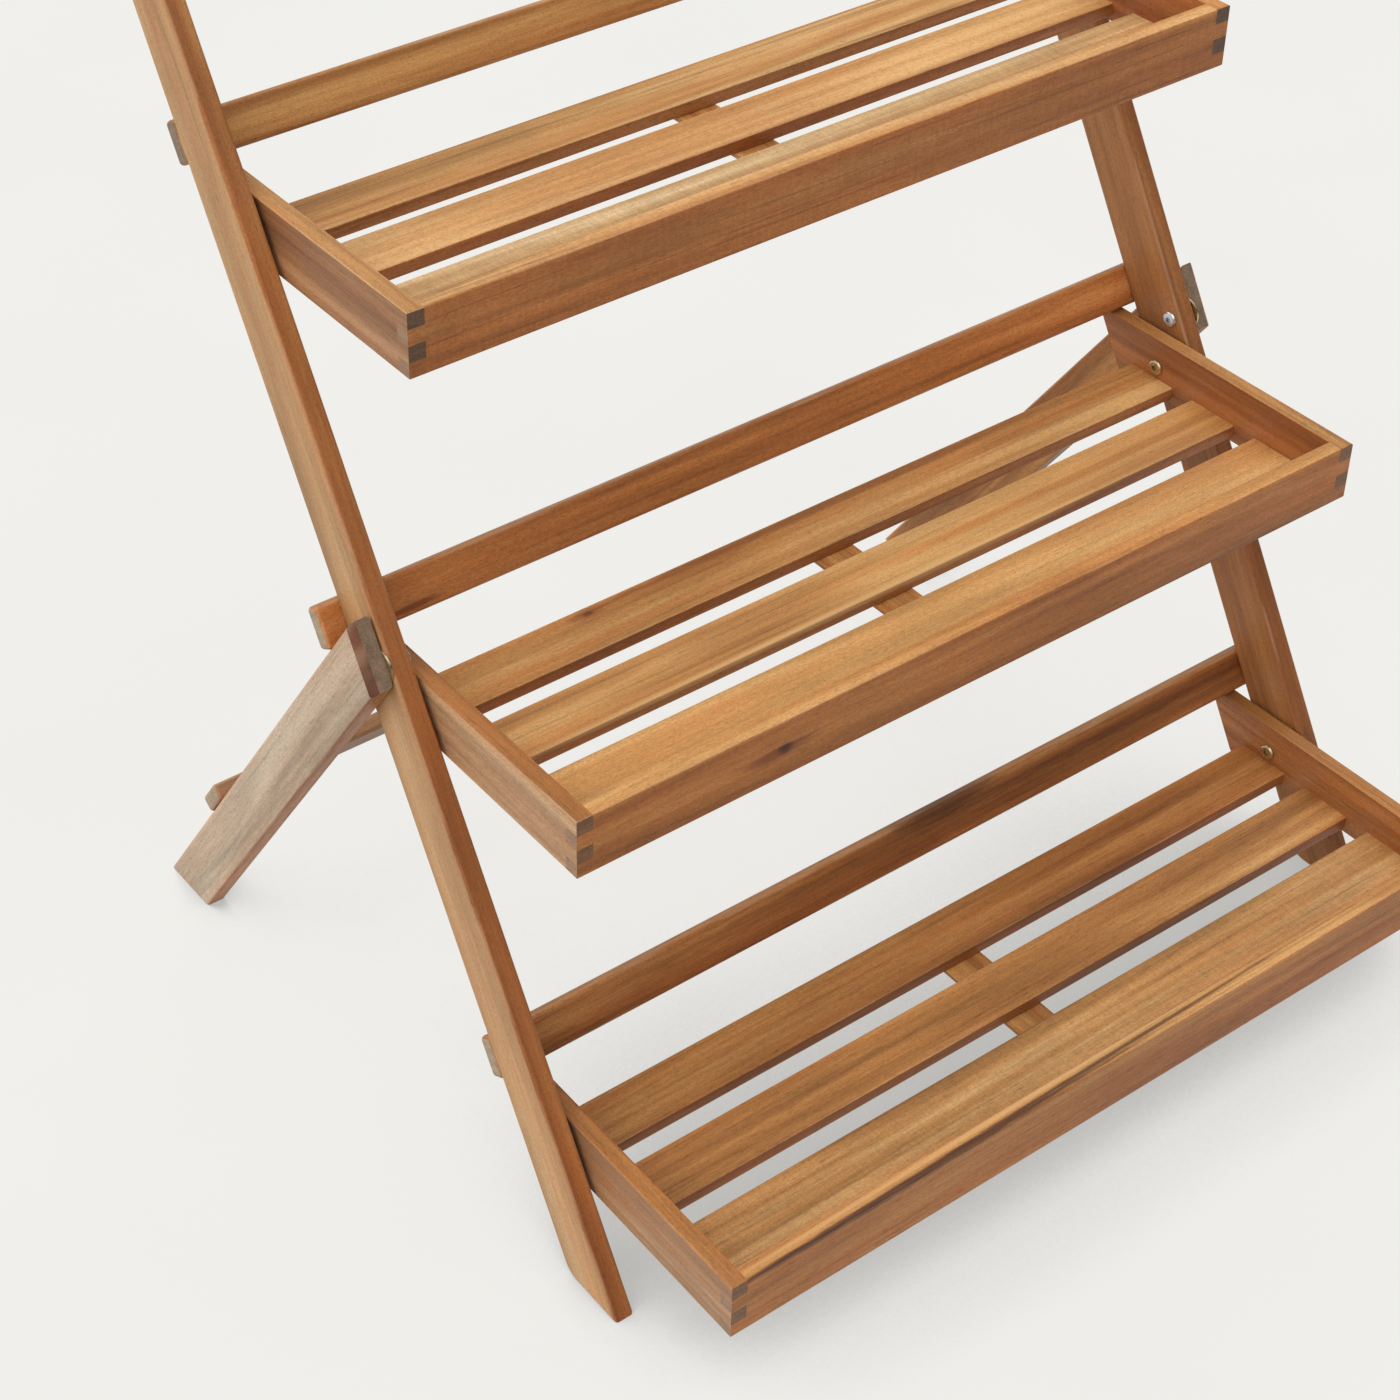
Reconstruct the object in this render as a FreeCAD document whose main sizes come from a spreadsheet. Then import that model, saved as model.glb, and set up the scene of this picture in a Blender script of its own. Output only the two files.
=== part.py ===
import FreeCAD, Part
import Sketcher
import math
import os
import types

# Driving dimensions, in millimetres and degrees.
SIZES = {
    # Shelves: width over the side panels, reach in front of the legs, heights along the legs.
    "shelf_width": 660,
    "shelf_reach": 134,
    "first_shelf_height": 68,
    "lower_pitch": 304,
    "upper_pitch": 312.5,
    # Legs.
    "lean_angle": 31,
    "rear_lean_angle": 35,
    "leg_width": 44,
    "leg_thickness": 15,
    "leg_length": 920,
    "foot_round": 15,
    "leg_top_round": 6,
    "leg_round": 2.5,
    # Spaces between the layers, filled by washers.
    "side_gap": 3,
    "rear_gap": 1.5,
    # Hinge of the rear legs, measured on the front leg, and the crossbar below it.
    "rear_pivot_across": 10,
    "rear_pivot_along": 454,
    "rear_top_setback": 3,
    "rear_top_bevel": 5,
    "crossbar_drop": 342,
    # Rails on the rear edges of the legs; they stop the shelves and the rear legs.
    "rail_height": 29,
    "rail_thickness": 13,
    "rail_round": 3,
    "stop_gap": 0.3,
    # Shelf boards.
    "panel_height": 45,
    "panel_thickness": 12,
    "front_rail_thickness": 11,
    "panel_tail": 6,
    "panel_round": 1.2,
    "tail_round": 3,
    "slat_width": 42,
    "front_slat_width": 45,
    "slat_thickness": 10,
    "slat_round": 1.2,
    "slat_drop": 31.5,
    "slat_gap": 19,
    "front_slat_gap": 19.5,
    "batten_width": 32,
    "batten_thickness": 4,
    "batten_margin": 3,
    "batten_round": 1,
    # Hinge bolts, their washers and threaded inserts.
    "bolt_diameter": 6,
    "bolt_clearance": 0.1,
    "bolt_head_diameter": 12,
    "bolt_head_height": 2.2,
    "bolt_head_round": 1.6,
    "bolt_play": 0.2,
    "socket_width": 4,
    "socket_depth": 3.5,
    "shelf_washer_diameter": 16,
    "rear_washer_diameter": 24,
    "insert_diameter": 9,
    "insert_length": 11,
    # Screws and dowels.
    "screw_diameter": 4,
    "screw_head_diameter": 8,
    "screw_head_height": 2.4,
    "screw_grip": 25,
    "screw_spread": 14,
    "small_screw_diameter": 3.5,
    "small_screw_head_diameter": 7,
    "small_screw_head_height": 2,
    "small_screw_grip": 7,
    "small_screw_spread": 17,
    "recess_width": 0.9,
    "recess_length": 4.2,
    "recess_depth": 1.4,
    "dowel_diameter": 6,
    "dowel_panel_depth": 7,
    "dowel_slat_depth": 13,
    "dowel_bevel": 0.8,
    "dowel_spread": 22,
    # Distance by which every cutting shape stands clear of the surface it enters.
    "cut_overrun": 1,
}

FINGERS = 4
SLATS = 3
LEFT = -1
RIGHT = 1
SIDE_NAMES = {LEFT: "left", RIGHT: "right"}
TIERS = ("bottom", "middle", "top")
SLAT_NAMES = ("front", "middle", "rear")
NEAR = 1e-6


class Dim:
    """A length or angle that carries its number and its sheet formula together."""

    def __init__(self, value, formula):
        self.value = value
        self.formula = formula

    def joined(self, sign, value, other):
        return Dim(value, "(%s %s %s)" % (self.formula, sign, other.formula))

    def __add__(self, other):
        other = as_dim(other)
        return self.joined("+", self.value + other.value, other)

    def __sub__(self, other):
        other = as_dim(other)
        return self.joined("-", self.value - other.value, other)

    def __mul__(self, other):
        other = as_dim(other)
        return self.joined("*", self.value * other.value, other)

    def __truediv__(self, other):
        other = as_dim(other)
        return self.joined("/", self.value / other.value, other)

    def __radd__(self, other):
        return as_dim(other) + self

    def __rsub__(self, other):
        return as_dim(other) - self

    def __rmul__(self, other):
        return as_dim(other) * self

    def __neg__(self):
        return as_dim(0) - self


def as_dim(number):
    return number if isinstance(number, Dim) else Dim(number, repr(number))


def sine(angle):
    return Dim(math.sin(math.radians(angle.value)), "sin(%s)" % angle.formula)


def cosine(angle):
    return Dim(math.cos(math.radians(angle.value)), "cos(%s)" % angle.formula)


def tangent(angle):
    return Dim(math.tan(math.radians(angle.value)), "tan(%s)" % angle.formula)


doc = FreeCAD.newDocument("garden_shelf")
sheet = doc.addObject("Spreadsheet::Sheet", "Sizes")
size = types.SimpleNamespace()
for row, (alias, number) in enumerate(SIZES.items(), start=1):
    sheet.set("A%d" % row, alias)
    sheet.set("B%d" % row, str(number))
    sheet.setAlias("B%d" % row, alias)
    setattr(size, alias, Dim(number, "Sizes." + alias))
doc.recompute()

X_AXIS = FreeCAD.Vector(1, 0, 0)
Y_AXIS = FreeCAD.Vector(0, 1, 0)
Z_AXIS = FreeCAD.Vector(0, 0, 1)
QUARTER = as_dim(90)
HALF_TURN = as_dim(180)
NO_TURN = as_dim(0)
# Turns that point the axis of a cutting cylinder along each direction used.
AIMS = {
    "+x": (Y_AXIS, QUARTER),
    "-x": (Y_AXIS, -QUARTER),
    "-y": (X_AXIS, QUARTER),
    "+z": (X_AXIS, NO_TURN),
}
STEPS = {"+x": (1, 0, 0), "-x": (-1, 0, 0), "-y": (0, -1, 0), "+z": (0, 0, 1)}
OUTWARD = {LEFT: "-x", RIGHT: "+x"}

nodes = {}


def bind(item, path, dim):
    """Tie one property of an object to the sheet."""
    item.setExpression(path, dim.formula)


def place(item, spot, axis=X_AXIS, turn=NO_TURN):
    """Put an object at a spot, turned about an axis, with both tied to the sheet."""
    base = FreeCAD.Vector(*[as_dim(part).value for part in spot])
    item.Placement = FreeCAD.Placement(base, FreeCAD.Rotation(axis, turn.value))
    for name, part in zip("xyz", spot):
        bind(item, "Placement.Base." + name, as_dim(part))
    if turn.value:
        bind(item, "Placement.Rotation.Angle", turn)


def new_body(label):
    body = doc.addObject("PartDesign::Body", label)
    body.Label = label
    return body


def outline(body, role, points):
    """Closed sketch on one origin plane, every corner held by two bound distances."""
    sketch = body.newObject("Sketcher::SketchObject", body.Name + "_profile")
    plane = [item for item in body.Origin.OriginFeatures if item.Role == role][0]
    sketch.AttachmentSupport = [(plane, "")]
    sketch.MapMode = "FlatFace"
    corners = [(as_dim(across), as_dim(along)) for across, along in points]
    spots = [FreeCAD.Vector(across.value, along.value, 0) for across, along in corners]
    count = len(corners)
    for index in range(count):
        following = (index + 1) % count
        sketch.addGeometry(Part.LineSegment(spots[index], spots[following]), False)
    for index in range(count):
        following = (index + 1) % count
        sketch.addConstraint(Sketcher.Constraint("Coincident", index, 2, following, 1))
    for index, corner in enumerate(corners):
        for kind, dim in zip(("DistanceX", "DistanceY"), corner):
            rule = Sketcher.Constraint(kind, -1, 1, index, 1, dim.value)
            number = sketch.addConstraint(rule)
            bind(sketch, "Constraints[%d]" % number, dim)
    return sketch


def slab(label, points, thickness):
    """Body made from a side outline (y, z), extruded along x."""
    body = new_body(label)
    sketch = outline(body, "YZ_Plane", points)
    pad = body.newObject("PartDesign::Pad", label + "_pad")
    pad.Profile = sketch
    bind(pad, "Length", thickness)
    doc.recompute()
    return body


def block(label, length, width, height):
    """Straight board with its length along x, width along y and height along z."""
    return slab(label, [(0, 0), (width, 0), (width, height), (0, height)], length)


def turned(label, role, points, axis):
    """Body made by revolving a half outline."""
    body = new_body(label)
    sketch = outline(body, role, points)
    spin = body.newObject("PartDesign::Revolution", label + "_turned")
    spin.Profile = sketch
    spin.ReferenceAxis = (sketch, [axis])
    spin.Angle = 360
    doc.recompute()
    return body


def edge_names(body, wanted):
    edges = enumerate(body.Tip.Shape.Edges, start=1)
    return ["Edge%d" % number for number, edge in edges if wanted(edge)]


def along_x(edge):
    first = edge.firstVertex().Point
    last = edge.lastVertex().Point
    run = last - first
    return run.Length > NEAR and abs(abs(run.x) - run.Length) < NEAR


def at_corner(spots):
    """Test for the edges along x that stand at the given (y, z) corners."""
    corners = [(as_dim(across).value, as_dim(along).value) for across, along in spots]

    def test(edge):
        point = edge.firstVertex().Point
        near = [math.hypot(point.y - across, point.z - along) for across, along in corners]
        return along_x(edge) and min(near) < NEAR

    return test


def on_sides(thickness, keep=lambda edge: True):
    """Test for the edges that lie in the two side faces of a slab."""

    def test(edge):
        box = edge.BoundBox
        flat = box.XLength < NEAR
        beside = min(abs(box.XMin), abs(box.XMin - thickness.value)) < NEAR
        return flat and beside and keep(edge)

    return test


def soften(body, wanted, radius):
    """Round the chosen edges."""
    names = edge_names(body, wanted)
    base = body.Tip
    fillet = body.newObject("PartDesign::Fillet", body.Name + "_round")
    fillet.Base = (base, names)
    bind(fillet, "Radius", radius)
    doc.recompute()


def bevel(body, wanted, length):
    """Chamfer the chosen edges."""
    names = edge_names(body, wanted)
    base = body.Tip
    chamfer = body.newObject("PartDesign::Chamfer", body.Name + "_bevel")
    chamfer.Base = (base, names)
    bind(chamfer, "Size", length)
    doc.recompute()


def drill(body, spot, aim, diameter, depth):
    """Round hole that enters at a spot on a face and runs along the aim."""
    hole = body.newObject("PartDesign::SubtractiveCylinder", body.Name + "_hole")
    bind(hole, "Radius", diameter / 2)
    bind(hole, "Height", depth + size.cut_overrun)
    start = [part - size.cut_overrun * step for part, step in zip(spot, STEPS[aim])]
    place(hole, start, *AIMS[aim])


def sink(body, spot, aim, wide, narrow, depth):
    """Countersink that enters at a spot on a face."""
    cone = body.newObject("PartDesign::SubtractiveCone", body.Name + "_sink")
    bind(cone, "Radius1", wide / 2)
    bind(cone, "Radius2", narrow / 2)
    bind(cone, "Height", depth)
    place(cone, spot, *AIMS[aim])


def notch(body, spot, extent):
    """Rectangular cut from a corner spot."""
    box = body.newObject("PartDesign::SubtractiveBox", body.Name + "_notch")
    for side, dim in zip(("Length", "Width", "Height"), extent):
        bind(box, side, dim)
    place(box, spot)


def finish(item, label, spot, axis=X_AXIS, turn=NO_TURN):
    place(item, spot, axis, turn)
    nodes[label] = item


def group(label, seed, spots):
    """One node of identical loose pieces: links to a seed, gathered in a compound."""
    links = []
    for spot, axis, turn in spots:
        link = doc.addObject("App::Link", "%s_%d" % (label, len(links) + 1))
        link.LinkedObject = seed
        place(link, spot, axis, turn)
        links.append(link)
    compound = doc.addObject("Part::Compound", label)
    compound.Label = label
    compound.Links = links
    nodes[label] = compound


def facing(side):
    """Turn of a hardware seed, made to point along +x, towards one side."""
    return (Z_AXIS, HALF_TURN if side == LEFT else NO_TURN)


# Derived positions.
lean = size.lean_angle
rear_lean = size.rear_lean_angle
between = lean + rear_lean
half_width = size.shelf_width / 2
leg_centre = size.leg_width / 2
board_span = size.shelf_width - 2 * size.panel_thickness
leg_inner = half_width + size.side_gap
leg_outer = leg_inner + size.leg_thickness
rear_inner = leg_outer + size.rear_gap
rear_outer = rear_inner + size.leg_thickness
rail_back = size.leg_width + size.rail_thickness


def leg_y(across, along):
    return across * cosine(lean) + along * sine(lean)


def leg_z(across, along):
    return along * cosine(lean) - across * sine(lean)


# Shelf corners: front face and underside of the side panels.
shelf_offsets = (as_dim(0), size.lower_pitch, size.lower_pitch + size.upper_pitch)
first_shelf_front = size.first_shelf_height * tangent(lean) - size.shelf_reach
shelf_front = [first_shelf_front + offset * sine(lean) for offset in shelf_offsets]
shelf_base = [size.first_shelf_height + offset * cosine(lean) for offset in shelf_offsets]
panel_centre = size.panel_height / 2
pivot_reach = size.shelf_reach + panel_centre * tangent(lean) + leg_centre / cosine(lean)
first_pivot_along = (size.first_shelf_height + panel_centre + leg_centre * sine(lean)) / cosine(lean)
pivot_along = [first_pivot_along + offset for offset in shelf_offsets]

# A rail's rounded lower rear edge stands one stop gap above the side panels.
rail_edge_across = rail_back - size.rail_round
first_rail_lift = size.first_shelf_height + size.panel_height + size.stop_gap + size.rail_round
first_rail_along = (first_rail_lift + rail_edge_across * sine(lean)) / cosine(lean) - size.rail_round
rail_along = [first_rail_along + offset for offset in shelf_offsets]

# The rear edge of a rear leg stands one stop gap off the middle rail's lower front edge.
stop_across = size.leg_width + size.rail_round - size.rear_pivot_across
stop_along = rail_along[1] + size.rail_round - size.rear_pivot_along
stop_reach = stop_across * cosine(between) + stop_along * sine(between)
rear_edge = stop_reach - size.rail_round - size.stop_gap
fore_edge = rear_edge - size.leg_width
rear_pivot_y = leg_y(size.rear_pivot_across, size.rear_pivot_along)
rear_pivot_z = leg_z(size.rear_pivot_across, size.rear_pivot_along)


def rear_foot(across):
    """Place along a rear leg, from its hinge, where a line across it meets the floor."""
    return -(rear_pivot_z + across * sine(rear_lean)) / cosine(rear_lean)


def rear_top(across):
    """Place along a rear leg where its end is cut parallel to the front leg."""
    inset = size.rear_pivot_across - size.rear_top_setback
    return (inset + across * cosine(between)) / sine(between)


def rear_y(across, along):
    return rear_pivot_y + across * cosine(rear_lean) - along * sine(rear_lean)


def rear_z(across, along):
    return rear_pivot_z + across * sine(rear_lean) + along * cosine(rear_lean)


# The whole stand is centred front to back between the lowest shelf's face and the rear feet.
rearmost = rear_y(rear_edge, rear_foot(rear_edge))
shift = -(shelf_front[0] + rearmost) / 2

# Screw rows on a rail, measured along the rail's height.
screw_rows = [
    size.rail_height / 2 - size.screw_spread / 2,
    size.rail_height / 2 + size.screw_spread / 2,
]
leg_middle = size.leg_thickness / 2
running_hole = size.bolt_diameter + size.bolt_clearance


def front_leg(side):
    label = "front_leg_" + SIDE_NAMES[side]
    width = size.leg_width
    heel = (width, width * tangent(lean))
    top_corners = [(width, size.leg_length), (0, size.leg_length)]
    leg = slab(label, [(0, 0), heel] + top_corners, size.leg_thickness)
    soften(leg, at_corner([heel]), size.foot_round)
    soften(leg, at_corner(top_corners), size.leg_top_round)
    soften(leg, on_sides(size.leg_thickness), size.leg_round)
    inner = size.leg_thickness if side == LEFT else as_dim(0)
    for along in pivot_along:
        spot = (inner, leg_centre, along)
        drill(leg, spot, OUTWARD[side], size.insert_diameter, size.insert_length)
    spot = (inner, size.rear_pivot_across, size.rear_pivot_along)
    drill(leg, spot, OUTWARD[side], running_hole, size.leg_thickness + size.cut_overrun)
    for along in rail_along:
        for row in screw_rows:
            spot = (leg_middle, width, along + row)
            drill(leg, spot, "-y", size.screw_diameter, size.screw_grip)
    start = -leg_outer if side == LEFT else leg_inner
    finish(leg, label, (start, shift, 0), X_AXIS, -lean)


def rear_leg(side):
    label = "rear_leg_" + SIDE_NAMES[side]
    top_corners = [(rear_edge, rear_top(rear_edge)), (fore_edge, rear_top(fore_edge))]
    feet = [(fore_edge, rear_foot(fore_edge)), (rear_edge, rear_foot(rear_edge))]
    leg = slab(label, feet + top_corners, size.leg_thickness)
    outer = 0 if side == LEFT else size.leg_thickness.value
    inner = size.leg_thickness if side == LEFT else as_dim(0)

    def outer_top(edge):
        box = edge.BoundBox
        beside = box.XLength < NEAR and abs(box.XMin - outer) < NEAR
        return beside and box.ZMin > top_corners[1][1].value - NEAR

    def long_edge(edge):
        return edge.BoundBox.ZLength > size.leg_width.value

    bevel(leg, outer_top, size.rear_top_bevel)
    soften(leg, on_sides(size.leg_thickness, long_edge), size.leg_round)
    drill(leg, (inner, 0, 0), OUTWARD[side], size.insert_diameter, size.insert_length)
    for row in screw_rows:
        along = row - size.rail_height / 2 - size.crossbar_drop
        drill(leg, (leg_middle, rear_edge, along), "-y", size.screw_diameter, size.screw_grip)
    start = -rear_outer if side == LEFT else rear_inner
    finish(leg, label, (start, rear_pivot_y + shift, rear_pivot_z), X_AXIS, rear_lean)


def cross_rail(label, reach, screw_inset, spot, turn):
    """Rail on the rear edges of two legs, countersunk for two screws at each end."""
    length = 2 * reach
    rail = block(label, length, size.rail_thickness, size.rail_height)
    soften(rail, lambda edge: True, size.rail_round)
    for across in (screw_inset, length - screw_inset):
        for row in screw_rows:
            entry = (across, size.rail_thickness, row)
            drill(rail, entry, "-y", size.screw_diameter, size.rail_thickness + size.cut_overrun)
            sink(rail, entry, "-y", size.screw_head_diameter, size.screw_diameter,
                 size.screw_head_height)
    finish(rail, label, (-reach,) + spot, X_AXIS, turn)


def side_panel(tier, index, side):
    label = "%s_shelf_side_%s" % (tier, SIDE_NAMES[side])
    height = size.panel_height
    tail = size.shelf_reach + (rail_back + size.panel_tail) / cosine(lean)
    tail_corners = [(tail, 0), (tail + height * tangent(lean), height)]
    panel = slab(label, [(0, 0)] + tail_corners + [(0, height)], size.panel_thickness)
    soften(panel, at_corner(tail_corners), size.tail_round)
    outer = 0 if side == LEFT else size.panel_thickness.value

    def worn(edge):
        box = edge.BoundBox
        outside = box.XLength < NEAR and abs(box.XMin - outer) < NEAR and box.YMax > NEAR
        crest = along_x(edge) and box.YMax < NEAR and box.ZMin > NEAR
        return outside or crest

    soften(panel, worn, size.panel_round)
    finger = height / FINGERS
    for row in range(1, FINGERS, 2):
        base = height - (row + 1) * finger
        below = size.cut_overrun if row == FINGERS - 1 else as_dim(0)
        spot = (-size.cut_overrun, -size.cut_overrun, base - below)
        extent = (size.panel_thickness + 2 * size.cut_overrun,
                  size.front_rail_thickness + size.cut_overrun, finger + below)
        notch(panel, spot, extent)
    inner = size.panel_thickness if side == LEFT else as_dim(0)
    through = size.panel_thickness + size.cut_overrun
    drill(panel, (inner, pivot_reach, panel_centre), OUTWARD[side], running_hole, through)
    for slat in range(SLATS):
        for row in dowel_rows(slat):
            spot = (inner, row, slat_base + size.slat_thickness / 2)
            drill(panel, spot, OUTWARD[side], size.dowel_diameter, size.dowel_panel_depth)
    start = -half_width if side == LEFT else half_width - size.panel_thickness
    finish(panel, label, (start, shelf_front[index] + shift, shelf_base[index]))


def front_rail(tier, index):
    label = tier + "_shelf_front_rail"
    height = size.panel_height
    rail = block(label, size.shelf_width, size.front_rail_thickness, height)

    def worn(edge):
        box = edge.BoundBox
        front = along_x(edge) and box.YMax < NEAR
        foot = box.XLength < NEAR and box.ZMax < NEAR
        return front or foot

    soften(rail, worn, size.panel_round)
    finger = height / FINGERS
    for row in range(0, FINGERS, 2):
        base = height - (row + 1) * finger
        above = size.cut_overrun if row == 0 else as_dim(0)
        extent = (size.panel_thickness + size.cut_overrun,
                  size.front_rail_thickness + 2 * size.cut_overrun, finger + above)
        for start in (-size.cut_overrun, size.shelf_width - size.panel_thickness):
            notch(rail, (start, -size.cut_overrun, base), extent)
    finish(rail, label, (-half_width, shelf_front[index] + shift, shelf_base[index]))


slat_base = size.panel_height - size.slat_drop - size.slat_thickness


def slat_width(number):
    return size.slat_width if number else size.front_slat_width


def slat_front(number):
    """Front edge of a slat, measured from the shelf's front face."""
    edge = size.front_rail_thickness + size.front_slat_gap
    for earlier in range(number):
        edge = edge + slat_width(earlier) + size.slat_gap
    return edge


def slat_centre(number):
    return slat_front(number) + slat_width(number) / 2


def dowel_rows(number):
    """The two dowel lines of a slat, measured from the shelf's front face."""
    return [slat_centre(number) + way * size.dowel_spread / 2 for way in (-1, 1)]


batten_start = slat_front(0) + size.batten_margin
batten_length = slat_front(SLATS - 1) + size.slat_width - size.batten_margin - batten_start


def seat_slat(tier, index, number):
    label = "%s_shelf_slat_%s" % (tier, SLAT_NAMES[number])
    slat = block(label, board_span, slat_width(number), size.slat_thickness)
    soften(slat, along_x, size.slat_round)
    for row in dowel_rows(number):
        offset = row - slat_front(number)
        level = size.slat_thickness / 2
        drill(slat, (as_dim(0), offset, level), "+x", size.dowel_diameter, size.dowel_slat_depth)
        drill(slat, (board_span, offset, level), "-x", size.dowel_diameter, size.dowel_slat_depth)
    for way in (LEFT, RIGHT):
        across = board_span / 2 + way * size.small_screw_spread / 2
        spot = (across, slat_width(number) / 2, as_dim(0))
        drill(slat, spot, "+z", size.small_screw_diameter, size.small_screw_grip)
    front = shelf_front[index] + slat_front(number) + shift
    finish(slat, label, (-board_span / 2, front, shelf_base[index] + slat_base))


def centre_batten(tier, index):
    label = tier + "_shelf_centre_batten"
    points = [(0, 0), (batten_length, 0), (batten_length, size.batten_thickness),
              (0, size.batten_thickness)]
    batten = slab(label, points, size.batten_width)
    soften(batten, lambda edge: True, size.batten_round)
    for number in range(SLATS):
        along = slat_centre(number) - batten_start
        for way in (LEFT, RIGHT):
            across = size.batten_width / 2 + way * size.small_screw_spread / 2
            spot = (across, along, as_dim(0))
            depth = size.batten_thickness + size.cut_overrun
            drill(batten, spot, "+z", size.small_screw_diameter, depth)
            sink(batten, spot, "+z", size.small_screw_head_diameter, size.small_screw_diameter,
                 size.small_screw_head_height)
    front = shelf_front[index] + batten_start + shift
    base = shelf_base[index] + slat_base - size.batten_thickness
    finish(batten, label, (-size.batten_width / 2, front, base))


def ring(label, bore, diameter, length):
    """Sleeve or washer that starts at x = 0."""
    points = [(0, bore / 2), (length, bore / 2), (length, diameter / 2), (0, diameter / 2)]
    return turned(label, "XY_Plane", points, "H_Axis")


def hinge_bolt(label, grip):
    """Button-headed socket bolt: domed head behind x = 0, shank along +x."""
    head = size.bolt_head_diameter / 2
    shank = size.bolt_diameter / 2
    top = -size.bolt_head_height
    points = [(top, 0), (grip, 0), (grip, shank), (0, shank), (0, head), (top, head)]
    bolt = turned(label, "XY_Plane", points, "H_Axis")

    def crown(edge):
        box = edge.BoundBox
        return box.XLength < NEAR and abs(box.XMin - top.value) < NEAR

    soften(bolt, crown, size.bolt_head_round)
    socket = bolt.newObject("PartDesign::SubtractivePrism", label + "_socket")
    socket.Polygon = 6
    bind(socket, "Circumradius", size.socket_width / 2 / cosine(as_dim(30)))
    bind(socket, "Height", size.socket_depth + size.cut_overrun)
    place(socket, (top - size.cut_overrun, 0, 0), *AIMS["+x"])
    return bolt


def wood_screw(label, diameter, head_diameter, head_height, length):
    """Countersunk screw: head flush with y = 0, shank along -y, crossed recess in the head."""
    points = [(0, 0), (0, -length), (diameter / 2, -length), (diameter / 2, -head_height),
              (head_diameter / 2, 0)]
    screw = turned(label, "XY_Plane", points, "V_Axis")
    depth = size.recess_depth + size.cut_overrun
    for long_side, short_side in ((0, 2), (2, 0)):
        extent = [as_dim(0), depth, as_dim(0)]
        extent[long_side] = size.recess_length
        extent[short_side] = size.recess_width
        notch(screw, (-extent[0] / 2, -size.recess_depth, -extent[2] / 2), extent)
    return screw


def slat_dowel(label):
    """Round peg across the joint between a slat (x < 0) and a side panel (x > 0)."""
    radius = size.dowel_diameter / 2
    start = -size.dowel_slat_depth
    end = size.dowel_panel_depth
    points = [(start, 0), (end, 0), (end, radius - size.dowel_bevel), (end - size.dowel_bevel, radius),
              (start + size.dowel_bevel, radius), (start, radius - size.dowel_bevel)]
    return turned(label, "XY_Plane", points, "H_Axis")


for side in (LEFT, RIGHT):
    front_leg(side)
    rear_leg(side)

for index, tier in enumerate(TIERS):
    wide = tier == "middle"
    reach = rear_outer if wide else leg_outer
    inset = reach - leg_inner - leg_middle
    spot = (leg_y(size.leg_width, rail_along[index]) + shift, leg_z(size.leg_width, rail_along[index]))
    cross_rail("back_rail_" + tier, reach, inset, spot, -lean)
    for side in (LEFT, RIGHT):
        side_panel(tier, index, side)
    front_rail(tier, index)
    for number in range(SLATS):
        seat_slat(tier, index, number)
    centre_batten(tier, index)

crossbar_along = -size.crossbar_drop - size.rail_height / 2
crossbar_spot = (rear_y(rear_edge, crossbar_along) + shift, rear_z(rear_edge, crossbar_along))
cross_rail("rear_crossbar", rear_outer, leg_middle, crossbar_spot, rear_lean)

# Shelf hinges: bolt through the side panel into an insert in the front leg.
shelf_grip = size.bolt_play + size.panel_thickness + size.side_gap + size.insert_length
shelf_bolt = hinge_bolt("shelf_bolt_seed", shelf_grip)
shelf_washer = ring("shelf_washer_seed", size.bolt_diameter, size.shelf_washer_diameter,
                    size.side_gap - size.bolt_play)
insert = ring("insert_seed", size.bolt_diameter, size.insert_diameter, size.insert_length)
bolt_spots = []
washer_spots = []
insert_spots = []
for index, tier in enumerate(TIERS):
    level = shelf_base[index] + panel_centre
    depth = shelf_front[index] + pivot_reach + shift
    for side in (LEFT, RIGHT):
        head = half_width - size.panel_thickness - size.bolt_play
        bolt_spots.append(((side * head, depth, level),) + facing(side))
        washer_spots.append(((side * (half_width + size.bolt_play), depth, level),) + facing(side))
        insert_spots.append(((side * leg_inner, depth, level),) + facing(side))
group("shelf_pivot_bolts", shelf_bolt, bolt_spots)
group("shelf_pivot_washers", shelf_washer, washer_spots)
group("shelf_pivot_inserts", insert, insert_spots)

# Rear hinges: bolt through the front leg into an insert in the rear leg.
rear_grip = size.bolt_play + size.leg_thickness + size.rear_gap + size.insert_length
rear_bolt = hinge_bolt("rear_bolt_seed", rear_grip)
rear_washer = ring("rear_washer_seed", size.bolt_diameter, size.rear_washer_diameter,
                   size.rear_gap - size.bolt_play)
hinge = (rear_pivot_y + shift, rear_pivot_z)
group("rear_pivot_bolts", rear_bolt,
      [((side * (leg_inner - size.bolt_play),) + hinge,) + facing(side) for side in (LEFT, RIGHT)])
group("rear_pivot_washers", rear_washer,
      [((side * (leg_outer + size.bolt_play),) + hinge,) + facing(side) for side in (LEFT, RIGHT)])
group("rear_pivot_inserts", insert,
      [((side * rear_inner,) + hinge,) + facing(side) for side in (LEFT, RIGHT)])

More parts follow.
